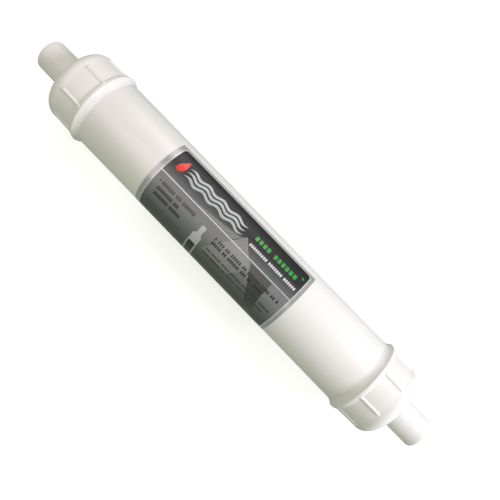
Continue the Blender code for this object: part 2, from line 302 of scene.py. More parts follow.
def moulded_plastic(name, light, dark, roughness, grain, waviness, stretch=(1, 1, 1)):
    """Moulded or extruded plastic: faint colour drift, uneven gloss, fine grain and slow waviness."""
    material, shader = start_material(name, IOR=1.49, Specular_IOR_Level=0.5)
    position = stretched_position(material, stretch)
    drift = noise_texture(material, position, 45.0)
    colour = ramp_between(material, drift, "Fac", [(0.30, dark), (0.70, light)])
    link(material, colour, "Color", shader, "Base Color")
    smudges = noise_texture(material, position, 160.0, detail=5.0)
    gloss = remap(material, smudges, "Fac", 0.3, 0.7, roughness - 0.05, roughness + 0.07)
    link(material, gloss, "Result", shader, "Roughness")
    slow = noise_texture(material, position, 90.0, detail=1.0)
    fine = noise_texture(material, position, 3500.0, detail=2.0)
    below = add_bump(material, shader, slow, "Fac", waviness, 0.0003)
    add_bump(material, shader, fine, "Fac", grain, 0.00003, below)
    return material


def label_ink(name, light, dark, roughness=0.34, metallic=0.0):
    """Printed ink on film: a slight mottle in its colour and its gloss."""
    material, shader = start_material(name, IOR=1.5, Metallic=metallic, Coat_Weight=0.25, Coat_Roughness=0.12)
    position = stretched_position(material, (1, 1, 1))
    mottle = noise_texture(material, position, 900.0, detail=4.0)
    colour = ramp_between(material, mottle, "Fac", [(0.35, dark), (0.65, light)])
    link(material, colour, "Color", shader, "Base Color")
    gloss = remap(material, mottle, "Fac", 0.3, 0.7, roughness - 0.04, roughness + 0.06)
    link(material, gloss, "Result", shader, "Roughness")
    return material


def angle_round_tube(material):
    """A node whose value is the angle round the filter in radians, from +Z towards +Y."""
    position = add_node(material, "ShaderNodeTexCoord")
    parts = add_node(material, "ShaderNodeSeparateXYZ")
    link(material, position, "Object", parts, "Vector")
    angle = add_node(material, "ShaderNodeMath", operation="ARCTAN2")
    material.node_tree.links.new(parts.outputs["Y"], angle.inputs[0])
    material.node_tree.links.new(parts.outputs["Z"], angle.inputs[1])
    return angle


def panel_print_and_shade(name, stops):
    """The label's charcoal panel: its greys change round the tube, as print and, towards the tube's
    underside, as painted shade, with a fine printed grain.
    """
    material, shader = start_material(
        name, IOR=1.5, Specular_IOR_Level=0.3, Coat_Weight=0.08, Coat_Roughness=0.15,
    )
    angle = angle_round_tube(material)
    low, high = stops[0][0], stops[-1][0]
    place = remap(material, angle, "Value", low, high, 0.0, 1.0)
    ramp = ramp_between(
        material, place, "Result", [((at - low) / (high - low), (grey, grey, grey)) for at, grey in stops],
    )
    position = stretched_position(material, (1, 1, 1))
    grain = noise_texture(material, position, 2200.0, detail=2.0)
    shade = remap(material, grain, "Fac", 0.3, 0.7, 0.86, 1.14)
    mixed = add_node(material, "ShaderNodeVectorMath", operation="SCALE")
    material.node_tree.links.new(ramp.outputs["Color"], mixed.inputs[0])
    material.node_tree.links.new(shade.outputs["Result"], mixed.inputs["Scale"])
    material.node_tree.links.new(mixed.outputs["Vector"], shader.inputs["Base Color"])
    gloss = remap(material, grain, "Fac", 0.3, 0.7, 0.30, 0.40)
    link(material, gloss, "Result", shader, "Roughness")
    return material


def brushed_steel(name):
    material, shader = start_material(name, Metallic=1.0, IOR=2.5)
    position = stretched_position(material, (1, 1, 1))
    scratches = noise_texture(material, position, 1800.0, detail=6.0)
    colour = ramp_between(
        material, scratches, "Fac", [(0.3, (0.42, 0.42, 0.43)), (0.7, (0.62, 0.62, 0.63))],
    )
    link(material, colour, "Color", shader, "Base Color")
    gloss = remap(material, scratches, "Fac", 0.3, 0.7, 0.18, 0.36)
    link(material, gloss, "Result", shader, "Roughness")
    return material


def seal_rubber(name):
    material, shader = start_material(name, Specular_IOR_Level=0.4)
    position = stretched_position(material, (1, 1, 1))
    bloom = noise_texture(material, position, 1500.0, detail=4.0)
    colour = ramp_between(
        material, bloom, "Fac", [(0.3, (0.012, 0.012, 0.012)), (0.8, (0.03, 0.03, 0.03))],
    )
    link(material, colour, "Color", shader, "Base Color")
    gloss = remap(material, bloom, "Fac", 0.3, 0.7, 0.45, 0.65)
    link(material, gloss, "Result", shader, "Roughness")
    return material


def fibrous(name, light, dark, scale):
    """Felt and cloth: crossing fibres, from noise stretched two ways."""
    material, shader = start_material(name, Roughness=0.95, Sheen_Weight=0.3, Sheen_Roughness=0.5)
    one_way = noise_texture(material, stretched_position(material, (1, 8, 1)), scale, detail=6.0)
    other_way = noise_texture(material, stretched_position(material, (1, 1, 8)), scale, detail=6.0)
    both = add_node(material, "ShaderNodeMath", operation="MAXIMUM")
    material.node_tree.links.new(one_way.outputs["Fac"], both.inputs[0])
    material.node_tree.links.new(other_way.outputs["Fac"], both.inputs[1])
    colour = ramp_between(material, both, "Value", [(0.35, dark), (0.75, light)])
    link(material, colour, "Color", shader, "Base Color")
    add_bump(material, shader, both, "Value", 0.8, 0.0003)
    return material


def granular_carbon(name):
    material, shader = start_material(name, Specular_IOR_Level=0.3)
    position = stretched_position(material, (1, 1, 1))
    grains = add_node(material, "ShaderNodeTexVoronoi", Scale=900.0)
    link(material, position, "Vector", grains, "Vector")
    # The colour darkens from each grain's middle towards its edge: painted shade in the gaps between the
    # grains.
    colour = ramp_between(
        material, grains, "Distance", [(0.0, (0.035, 0.035, 0.037)), (0.6, (0.006, 0.006, 0.006))],
    )
    link(material, colour, "Color", shader, "Base Color")
    gloss = remap(material, grains, "Distance", 0.0, 0.6, 0.55, 0.95)
    link(material, gloss, "Result", shader, "Roughness")
    add_bump(material, shader, grains, "Distance", 1.0, -0.0004)
    return material


PANEL_GREYS = [
    # angle round the tube, brightness of the print, darkened towards the tube's underside by painted shade
    (math.radians(-78), 0.022),
    (math.radians(-62), 0.050),
    (math.radians(-40), 0.125),
    (math.radians(-18), 0.185),
    (math.radians(0), 0.165),
    (math.radians(3), 0.120),
    (math.radians(12), 0.075),
    (math.radians(24), 0.020),
    (math.radians(50), 0.012),
]

MATERIALS = {
    "cap_plastic": moulded_plastic(
        "cap_plastic", (0.72, 0.68, 0.65), (0.70, 0.66, 0.63), 0.36, 0.15, 0.10),
    "tube_plastic": moulded_plastic(
        "tube_plastic", (0.73, 0.69, 0.66), (0.71, 0.67, 0.64), 0.30, 0.08, 0.12, stretch=(0.12, 1, 1)),
    "natural_plastic": moulded_plastic(
        "natural_plastic", (0.70, 0.69, 0.64), (0.66, 0.65, 0.60), 0.42, 0.20, 0.10),
    "acetal": moulded_plastic("acetal", (0.74, 0.74, 0.72), (0.71, 0.71, 0.69), 0.34, 0.10, 0.10),
    "steel": brushed_steel("steel"),
    "seal": seal_rubber("seal"),
    "felt": fibrous("felt", (0.80, 0.80, 0.76), (0.55, 0.55, 0.51), 900.0),
    "cloth": fibrous("cloth", (0.84, 0.84, 0.82), (0.62, 0.62, 0.60), 2400.0),
    "carbon": granular_carbon("carbon"),
    "film_silver": label_ink("film_silver", (0.40, 0.39, 0.39), (0.34, 0.33, 0.33), 0.30, 0.35),
    "ink_bright_silver": label_ink("ink_bright_silver", (0.60, 0.59, 0.58), (0.52, 0.51, 0.50), 0.28, 0.30),
    "ink_panel_and_shade": panel_print_and_shade("ink_panel_and_shade", PANEL_GREYS),
    "ink_silver": label_ink("ink_silver", (0.44, 0.45, 0.44), (0.34, 0.35, 0.34)),
    "ink_white": label_ink("ink_white", (0.70, 0.66, 0.67), (0.60, 0.56, 0.57)),
    "ink_black": label_ink("ink_black", (0.016, 0.015, 0.015), (0.010, 0.009, 0.009)),
    "ink_case": label_ink("ink_case", (0.46, 0.45, 0.44), (0.40, 0.39, 0.38)),
    "ink_fine_black": label_ink("ink_fine_black", (0.035, 0.035, 0.033), (0.022, 0.022, 0.021)),
    "ink_red": label_ink("ink_red", (0.72, 0.035, 0.015), (0.60, 0.025, 0.012)),
    "ink_green": label_ink("ink_green", (0.045, 0.30, 0.045), (0.03, 0.23, 0.03)),
    "ink_pale_facet": label_ink("ink_pale_facet", (0.235, 0.225, 0.22), (0.20, 0.19, 0.185)),
    "ink_mid_facet": label_ink("ink_mid_facet", (0.20, 0.19, 0.185), (0.17, 0.16, 0.158)),
    "ink_dark_facet": label_ink("ink_dark_facet", (0.052, 0.046, 0.046), (0.038, 0.034, 0.034)),
}


# ---------------------------------------------------------------- housing

def make_tube():
    outline = rounded_box_outline(
        -TUBE_HALF_LENGTH, TUBE_HALF_LENGTH, TUBE_RADIUS - TUBE_WALL, TUBE_RADIUS, TUBE_CHAMFER,
    )
    mesh_data = lathe(outline, even_angles(BODY_COLUMNS))
    tube = finished("tube_shell", mesh_data, MATERIALS["tube_plastic"], "housing")
    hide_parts("housing_tube")


def rib_height(x):
    """How high a rib stands on the band, at x from the rim."""
    near = smooth(x, STRIP_END - GROOVE_WALL, STRIP_END + GROOVE_WALL)
    far = 1 - smooth(x, RIB_END - RIB_END_LENGTH, RIB_END)
    return RIB_HEIGHT * near * far


def cap_outside():
    """The cap's outer section as (x, radius between the ribs), from its rim to its port's mouth."""
    points = []
    steps = 16
    for step in range(steps + 1):
        t = BEAD_RISE_SHARE * step / steps
        rise = (BEAD_RADIUS - LIP_RADIUS) * t ** BEAD_RISE_POWER
        points.append((BEAD_RISE_START + (BEAD_RISE_END - BEAD_RISE_START) * t, LIP_RADIUS + rise))
    points += arc((BEAD_CREST_X, BEAD_RADIUS - BEAD_CREST_ROUND), BEAD_CREST_ROUND, 130, 80, 6)
    strip_start_radius = BEAD_RADIUS - STRIP_START_DROP
    for step in range(1, 9):
        t = step / 8
        x = STRIP_START + (STRIP_END - STRIP_START) * t
        fall = (STRIP_END_RADIUS - strip_start_radius) * t ** STRIP_FALL_POWER
        points.append((x, strip_start_radius + fall))
    for step in range(1, 9):
        wall = smooth(step / 8, 0, 1)
        radius = STRIP_END_RADIUS + (BAND_START_RADIUS - STRIP_END_RADIUS) * wall
        points.append((STRIP_END + GROOVE_WALL * step / 8, radius))
    band_start = STRIP_END + GROOVE_WALL
    for step in range(1, 13):
        t = BAND_PLAIN_SHARE * step / 12
        points.append((
            band_start + (BAND_END - band_start) * t,
            BAND_START_RADIUS + (BAND_END_RADIUS - BAND_START_RADIUS) * t,
        ))
    fine_start = points[-1]
    for step in range(1, 17):
        t = step / 16
        x = fine_start[0] + (SHOULDER_START - fine_start[0]) * t
        step_up = smooth(x, BAND_END, BAND_END + SHOULDER_STEP_LENGTH)
        points.append((x, fine_start[1] + (SHOULDER_RADIUS - fine_start[1]) * step_up))
    for x, radius in arc((0.0, SHOULDER_RADIUS - SHOULDER_ROUND), SHOULDER_ROUND, 86, 0, 20):
        points.append((SHOULDER_START + (CAP_FRONT - SHOULDER_START) * x / SHOULDER_ROUND, radius))
    root_centre = (CAP_FRONT + CAP_FRONT_RISE + BOSS_ROOT_ROUND, BOSS_ROOT_RADIUS + BOSS_ROOT_ROUND)
    points += arc(root_centre, BOSS_ROOT_ROUND, 172, 270, 10)
    mouth = PORT_FACE_X - RIM_X
    points += arc((mouth - BOSS_EDGE_ROUND, BOSS_RADIUS - BOSS_EDGE_ROUND), BOSS_EDGE_ROUND, 90, 0, 12)
    return points


def cap_inside():
    """The cap's bore and its inside, from the port's mouth back to the rim."""
    mouth = PORT_FACE_X - RIM_X
    points = arc((mouth - SMALL_ROUND, RETAINER_BORE_RADIUS + SMALL_ROUND), SMALL_ROUND, 0, -90, 3)
    points += [
        (mouth - RETAINER_BORE_DEPTH, RETAINER_BORE_RADIUS),
        (mouth - RETAINER_BORE_DEPTH, SEAL_BORE_RADIUS),
        (mouth - SEAL_BORE_DEPTH, SEAL_BORE_RADIUS),
        (mouth - SEAL_BORE_DEPTH, LINE_SEAT_RADIUS),
        (mouth - LINE_SEAT_DEPTH, LINE_SEAT_RADIUS),
        (mouth - LINE_SEAT_DEPTH, FLOW_RADIUS),
        (CAP_INNER_FRONT, FLOW_RADIUS),
    ]
    inner_centre = (CAP_INNER_FRONT - CAP_INNER_ROUND, CAP_INNER_RADIUS - CAP_INNER_ROUND)
    points += arc(inner_centre, CAP_INNER_ROUND, 0, 90, 8)
    points += [
        (WEB_END, CAP_INNER_RADIUS),
        (WEB_END, PILOT_INNER_RADIUS),
        (-PILOT_REACH, PILOT_INNER_RADIUS),
        (-PILOT_REACH, PILOT_RADIUS),
        (WELD_GROOVE_DEPTH, PILOT_RADIUS),
        (WELD_GROOVE_DEPTH, SKIRT_RADIUS),
        (BEAD_RISE_START, SKIRT_RADIUS),
    ]
    return points


def cap_angles(phase):
    """Angles round a cap, close together over the ribs and wider over the panels."""
    half = math.pi / RIB_COUNT
    offsets = [RIB_HALF_ANGLE * step / 9 for step in range(10)]
    offsets += [RIB_HALF_ANGLE + (half - RIB_HALF_ANGLE) * step / 9 for step in range(1, 9)]
    around = sorted({-offset for offset in offsets} | set(offsets) | {-half})
    angles = []
    for index in range(RIB_COUNT):
        middle = (index + 0.5) * 2 * math.pi / RIB_COUNT + phase
        angles += [middle + offset for offset in around]
    return angles


def make_cap(end, side):
    phase = side * RIB_PHASE
    spacing = 2 * math.pi / RIB_COUNT

    def radius_at(point, angle):
        from_rib = abs((angle - phase) % spacing - spacing / 2)
        return point[1] + point[2] * (1 - smooth(from_rib, RIB_CREST_ANGLE, RIB_HALF_ANGLE))

    outline = [(x, radius, rib_height(x)) for x, radius in cap_outside()]
    outline += [(x, radius, 0.0) for x, radius in cap_inside()]
    mesh_data = move_to_end(lathe(outline, cap_angles(phase), radius_at), side, RIM_X)
    cap = finished(end + "_cap_shell", mesh_data, MATERIALS["cap_plastic"], "housing")
    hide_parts(end + "_cap")


# ---------------------------------------------------------------- port pieces

RETAINER_RADIUS = 0.0075
RETAINER_FACE_DEPTH = 0.0012
RETAINER_END_DEPTH = 0.0112
RETAINER_THROAT_RADIUS = 0.00465
RETAINER_THROAT_DEPTH = 0.0050
RETAINER_CONE_DEPTH = 0.0064
RETAINER_INNER_RADIUS = 0.0056
COLLET_FLANGE_RADIUS = 0.0056
COLLET_FLANGE_TOP = 0.0017
COLLET_FLANGE_UNDERSIDE = 0.0004
COLLET_FLANGE_ROUND = 0.0004
COLLET_BARREL_RADIUS = 0.00435
COLLET_BORE_RADIUS = 0.0033
COLLET_CONE_DEPTH = 0.0052
COLLET_HEAD_RADIUS = 0.0052
COLLET_HEAD_START_DEPTH = 0.0066
COLLET_END_DEPTH = 0.0089
COLLET_LEAD_IN = 0.0005
COLLET_SLOT_WIDTH = 0.0009
COLLET_SLOT_START_DEPTH = 0.0025
EDGE_ROUND = 0.00015
GRIP_RING_DEPTH = 0.0092
GRIP_RING_THICKNESS = 0.0004
GRIP_RING_RADIUS = 0.0050
GRIP_ROOT_RADIUS = 0.0036
GRIP_TOOTH_RADIUS = 0.0031
GRIP_TEETH = 8
SPACER_DEPTH = 0.0119
SPACER_THICKNESS = 0.0010
SPACER_RADIUS = 0.0050
SPACER_INNER_RADIUS = 0.00345
SEAL_RING_CENTRE_DEPTH = 0.0143
SEAL_RING_MEAN_RADIUS = 0.0040
SEAL_RING_SECTION_RADIUS = 0.0010


def port_piece(name, mesh_data, side, material, body):
    piece = finished(name, move_to_end(mesh_data, side, PORT_FACE_X), MATERIALS[material], body)
    return piece


def retainer_outline():
    outline = arc((-RETAINER_FACE_DEPTH - EDGE_ROUND, RETAINER_RADIUS - EDGE_ROUND), EDGE_ROUND, 0, 90, 3)
    outline += [
        (-RETAINER_END_DEPTH, RETAINER_RADIUS),
        (-RETAINER_END_DEPTH, RETAINER_INNER_RADIUS),
        (-RETAINER_CONE_DEPTH, RETAINER_INNER_RADIUS),
        (-RETAINER_THROAT_DEPTH, RETAINER_THROAT_RADIUS),
    ]
    lip_centre = (-RETAINER_FACE_DEPTH - 2 * EDGE_ROUND, RETAINER_THROAT_RADIUS + 2 * EDGE_ROUND)
    outline += arc(lip_centre, 2 * EDGE_ROUND, -90, 0, 4)
    return outline


def collet_outline():
    flange_centre = (COLLET_FLANGE_TOP - COLLET_FLANGE_ROUND, COLLET_FLANGE_RADIUS - COLLET_FLANGE_ROUND)
    outline = [(COLLET_FLANGE_TOP - COLLET_LEAD_IN, COLLET_BORE_RADIUS)]
    outline += [(COLLET_FLANGE_TOP, COLLET_BORE_RADIUS + COLLET_LEAD_IN)]
    outline += arc(flange_centre, COLLET_FLANGE_ROUND, 0, 90, 5)
    under = (COLLET_FLANGE_UNDERSIDE + EDGE_ROUND, COLLET_FLANGE_RADIUS - EDGE_ROUND)
    outline += arc(under, EDGE_ROUND, 90, 180, 3)
    outline += [
        (COLLET_FLANGE_UNDERSIDE, COLLET_BARREL_RADIUS),
        (-COLLET_CONE_DEPTH, COLLET_BARREL_RADIUS),
        (-COLLET_HEAD_START_DEPTH, COLLET_HEAD_RADIUS),
    ]
    outline += arc((-COLLET_END_DEPTH + EDGE_ROUND, COLLET_HEAD_RADIUS - EDGE_ROUND), EDGE_ROUND, 90, 180, 3)
    outline += [(-COLLET_END_DEPTH, COLLET_BORE_RADIUS)]
    return outline


def cut_slots(piece, side):
    """Two crossing slots through the collet's inner end, which part it into four fingers."""
    length = COLLET_END_DEPTH + 0.001 - COLLET_SLOT_START_DEPTH
    centre = side * (PORT_FACE_X - COLLET_SLOT_START_DEPTH - length / 2)
    across = 2 * COLLET_HEAD_RADIUS + 0.001
    for index, size in enumerate(((length, across, COLLET_SLOT_WIDTH), (length, COLLET_SLOT_WIDTH, across))):
        mesh_data = bmesh.new()
        bmesh.ops.create_cube(
            mesh_data, size=1.0, matrix=Matrix.Translation((centre, 0, 0)) @ Matrix.Diagonal((*size, 1.0)),
        )
        mesh = bpy.data.meshes.new("slot_cutter")
        mesh_data.to_mesh(mesh)
        mesh_data.free()
        cutter = bpy.data.objects.new(f"{piece.name}_cutter_{index}", mesh)
        bpy.context.scene.collection.objects.link(cutter)
        modifier = piece.modifiers.new("slot", "BOOLEAN")
        modifier.object = cutter
        modifier.operation = "DIFFERENCE"
        apply_modifiers(piece)
        bpy.data.objects.remove(cutter)


def apply_modifiers(piece):
    """Makes the piece's evaluated mesh its own mesh, with no modifiers left."""
    evaluated = piece.evaluated_get(bpy.context.evaluated_depsgraph_get())
    mesh = bpy.data.meshes.new_from_object(evaluated)
    piece.modifiers.clear()
    piece.data = mesh


def make_port(end, side):
    body = end + "_collet"
    angles = even_angles(PORT_COLUMNS)
    retainer = port_piece(
        end + "_retainer_sleeve", lathe(retainer_outline(), angles), side,
        "natural_plastic", "housing",
    )
    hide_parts(end + "_collet_retainer")

    collet = port_piece(
        end + "_collet_fingers", lathe(collet_outline(), angles), side, "acetal", body,
    )
    cut_slots(collet, side)
    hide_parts(end + "_collet")

    def tooth_radius(point, angle):
        if point[1] > GRIP_ROOT_RADIUS:
            return point[1]
        spacing = 2 * math.pi / GRIP_TEETH
        from_tip = abs((angle + spacing / 2) % spacing - spacing / 2) / (spacing / 2)
        tooth = 1 - smooth(from_tip, 0.18, 0.55)
        return GRIP_ROOT_RADIUS - (GRIP_ROOT_RADIUS - GRIP_TOOTH_RADIUS) * tooth

    ring_outline = rounded_box_outline(
        -GRIP_RING_DEPTH - GRIP_RING_THICKNESS, -GRIP_RING_DEPTH,
        GRIP_ROOT_RADIUS, GRIP_RING_RADIUS, EDGE_ROUND / 2,
    )
    ring = port_piece(
        end + "_grip_teeth", lathe(ring_outline, even_angles(2 * PORT_COLUMNS), tooth_radius), side,
        "steel", body,
    )
    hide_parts(end + "_grip_ring")

    spacer_outline = rounded_box_outline(
        -SPACER_DEPTH - SPACER_THICKNESS, -SPACER_DEPTH, SPACER_INNER_RADIUS, SPACER_RADIUS, EDGE_ROUND,
    )
    spacer = port_piece(
        end + "_spacer", lathe(spacer_outline, angles), side, "natural_plastic", "housing",
    )
    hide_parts(end + "_spacer_ring")

    seal_outline = arc((-SEAL_RING_CENTRE_DEPTH, SEAL_RING_MEAN_RADIUS), SEAL_RING_SECTION_RADIUS, 0, 360, 28)
    seal = port_piece(
        end + "_o_ring", lathe(seal_outline[:-1], angles), side, "seal", "housing",
    )
    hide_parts(end + "_port_o_ring")


# ---------------------------------------------------------------- label

PANEL_LEFT = -0.0580
PANEL_RIGHT = 0.0507
PANEL_TOP = math.radians(50.5) * TUBE_RADIUS
PANEL_BOTTOM = -math.radians(211.0) * TUBE_RADIUS
PANEL_CORNER = 0.0025
DIVIDER = 0.0006
DIVIDER_HALF_WIDTH = 0.00028
FRAME_LINE_WIDTH = 0.0008

# Pictures on the label, laid out flat: x along the tube, y round it from its top
PALE_FACET = [
    (0.0070, 0.0089), (-0.0015, -0.0044), (-0.0085, -0.0165), (0.0130, -0.0165), (0.0215, -0.0044),
]
MID_FACET = [(-0.0294, 0.0012), (0.0010, 0.0012), (0.0058, 0.0072), (0.0035, 0.0058), (-0.0110, 0.0035)]
DARK_FACET = [
    (0.0218, -0.0048), (0.0195, -0.0003), (0.0366, -0.0003), (0.0373, -0.0120), (0.0405, -0.0320),
    (0.0340, -0.0260), (0.0270, -0.0120),
]
DROP_X = -0.0515
DROP_BOTTOM = 0.0066
DROP_WIDTH = 0.0062
DROP_HEIGHT = 0.0100
DROP_LEAN = 0.0026
WAVES_START = -0.0462
WAVES_END = 0.0032
WAVE_MIDDLES = (0.0134, 0.0104, 0.0074)
WAVE_AMPLITUDE = 0.0009
WAVE_LENGTH = 0.0123
WAVE_THICKNESS = 0.0018
PLUS_X = 0.0478
PLUS_Y = 0.0160
PLUS_ARM = 0.0011
PLUS_HALF_WIDTH = 0.00028
NECK_LEFT = -0.0169
NECK_RIGHT = -0.0134
NECK_TOP = -0.0052
NECK_BOTTOM = -0.0108
CASE_LEFT = -0.0187
CASE_RIGHT = -0.0118
CASE_TOP = -0.0127
CASE_BOTTOM = -0.0345
CASE_WALL = 0.0008
WINDOW_TOP = -0.0187

# Lines of print: where each starts and ends along the tube, its middle round the tube, its
# height, and how many letters its words have
GREEN_LINES = [(0.0106, 0.0455, 0.0128, 0.0032, (4, 6))]
WHITE_LINES = [(0.0107, 0.0490, 0.0070, 0.0018, (9, 7, 6))]
LEFT_BOLD_LINES = [
    (-0.0520, -0.0240, -0.0048, 0.0025, (7, 3, 7)),
    (-0.0525, -0.0344, -0.0090, 0.0025, (9, 3)),
    (-0.0523, -0.0303, -0.0131, 0.0025, (8, 6)),
]
RIGHT_BOLD_LINES = [
    (-0.0060, 0.0475, -0.0056, 0.0021, (1, 3, 2, 5, 2, 6, 4, 2, 1)),
    (-0.0060, 0.0367, -0.0087, 0.0021, (5, 2, 6, 3, 2, 5)),
]
BULLET = (-0.0544, -0.0532, -0.0054, -0.0042)
SMALL_LINES = [
    (-0.0540, -0.0268, -0.0201, 0.0008, (4, 6, 7, 3, 9)),
    (-0.0540, -0.0306, -0.0232, 0.0008, (7, 5, 3, 8)),
    (-0.0064, 0.0478, -0.0144, 0.0014, (4, 7, 6, 8, 4, 5, 2, 8)),
    (-0.0066, 0.0446, -0.0179, 0.0014, (5, 8, 3, 7, 9, 2, 8)),
]
LETTER_GAP = 0.30
WORD_GAP = 0.8


def wrap(mesh_data):
    """Bends a flat bmesh, with x along the tube, y round it and z above it, onto the tube."""
    for vert in mesh_data.verts:
        angle = vert.co.y / TUBE_RADIUS
        radius = TUBE_RADIUS + vert.co.z
        vert.co = Vector((vert.co.x, radius * math.sin(angle), radius * math.cos(angle)))


def flat_faces(outlines):
    """A flat bmesh with one face per outline of (x, y) points."""
    mesh_data = bmesh.new()
    for outline in outlines:
        mesh_data.faces.new([mesh_data.verts.new((x, y, 0)) for x, y in outline])
    bmesh.ops.remove_doubles(mesh_data, verts=mesh_data.verts, dist=1e-7)
    return mesh_data


def cut_for_bending(mesh_data):
    """Cuts a flat bmesh across at every step round the tube, so that it bends smoothly."""
    step = LABEL_STEP * TUBE_RADIUS
    heights = [vert.co.y for vert in mesh_data.verts]
    for index in range(math.ceil(min(heights) / step), math.floor(max(heights) / step) + 1):
        bmesh.ops.bisect_plane(
            mesh_data, geom=mesh_data.verts[:] + mesh_data.edges[:] + mesh_data.faces[:],
            dist=1e-7, plane_co=(0, index * step, 0), plane_no=(0, 1, 0),
        )


def layer(name, outlines, bottom, top, material):
    """A thin closed sheet on the tube between two heights, in the shape of the outlines."""
    mesh_data = flat_faces(outlines)
    cut_for_bending(mesh_data)
    grown = bmesh.ops.extrude_face_region(mesh_data, geom=mesh_data.faces[:])
    lifted = [item for item in grown["geom"] if isinstance(item, bmesh.types.BMVert)]
    bmesh.ops.translate(mesh_data, verts=lifted, vec=(0, 0, top - bottom))
    bmesh.ops.translate(mesh_data, verts=mesh_data.verts, vec=(0, 0, bottom))
    wrap(mesh_data)
    return finished(name, mesh_data, MATERIALS[material], "housing")


def ink(name, outlines, level, material):
    """Ink printed on the film: level 0 lies on the film, and each level lies on the one below."""
    bottom = FILM_TOP + level * INK_THICKNESS - INK_SINK
    return layer(name, outlines, bottom, bottom + INK_THICKNESS + INK_SINK, material)


def rectangle(left, right, bottom, top, corner=0.0, steps=5):
    """An outline of a rectangle, with rounded corners where corner is above 0."""
    if corner <= 0:
        return [(left, bottom), (right, bottom), (right, top), (left, top)]
    outline = arc((right - corner, bottom + corner), corner, -90, 0, steps)
    outline += arc((right - corner, top - corner), corner, 0, 90, steps)
    outline += arc((left + corner, top - corner), corner, 90, 180, steps)
    outline += arc((left + corner, bottom + corner), corner, 180, 270, steps)
    return outline


def print_lines(lines):
    """Outlines of rounded blocks that stand for letters, in lines of words."""
    outlines = []
    for start, end, middle, height, word_letters in lines:
        pitch = (end - start) / (sum(word_letters) + WORD_GAP * (len(word_letters) - 1))
        width = pitch * (1 - LETTER_GAP)
        corner = min(height, width) * 0.22
        x = start
        for letters in word_letters:
            for _ in range(letters):
                outlines.append(rectangle(x, x + width, middle - height / 2, middle + height / 2, corner, 2))
                x += pitch
            x += WORD_GAP * pitch
    return outlines


def wave_strip(start, end, middle, amplitude, length, thickness, steps=72):
    """Quads of a wavy band, thin at both of its ends."""
    quads = []
    edge = []
    for step in range(steps + 1):
        t = step / steps
        x = start + (end - start) * t
        y = middle + amplitude * math.sin(2 * math.pi * (x - start) / length)
        half = thickness / 2 * (0.12 + 0.88 * min(1.0, math.sin(math.pi * t) * 3.0))
        edge.append((x, y, half))
    for (x0, y0, h0), (x1, y1, h1) in zip(edge, edge[1:]):
        quads.append([(x0, y0 - h0), (x1, y1 - h1), (x1, y1 + h1), (x0, y0 + h0)])
    return quads


def drop_outline(x, bottom, width, height, lean, steps=24):
    """A leaning water drop: round at the bottom and pointed at the top."""
    outline = []
    for step in range(steps):
        t = 2 * math.pi * step / steps
        y = (1 - math.cos(t)) / 2
        half = math.sin(t) * abs(math.cos(t / 2))
        outline.append((x + width * 0.62 * half * (1 - 0.25 * y) + lean * y, bottom + height * y))
    return outline


def cartridge_outline():
    """A small picture of a cartridge: a neck above two sloping shoulders and a straight case."""
    neck_top = rectangle(NECK_LEFT, NECK_RIGHT, NECK_BOTTOM, NECK_TOP, 0.0005, 3)
    right_top, left_top = neck_top[4:8], neck_top[8:12]
    return [
        (CASE_LEFT, CASE_BOTTOM), (CASE_RIGHT, CASE_BOTTOM), (CASE_RIGHT, CASE_TOP),
        (NECK_RIGHT, NECK_BOTTOM), *right_top, *left_top, (NECK_LEFT, NECK_BOTTOM), (CASE_LEFT, CASE_TOP),
    ]


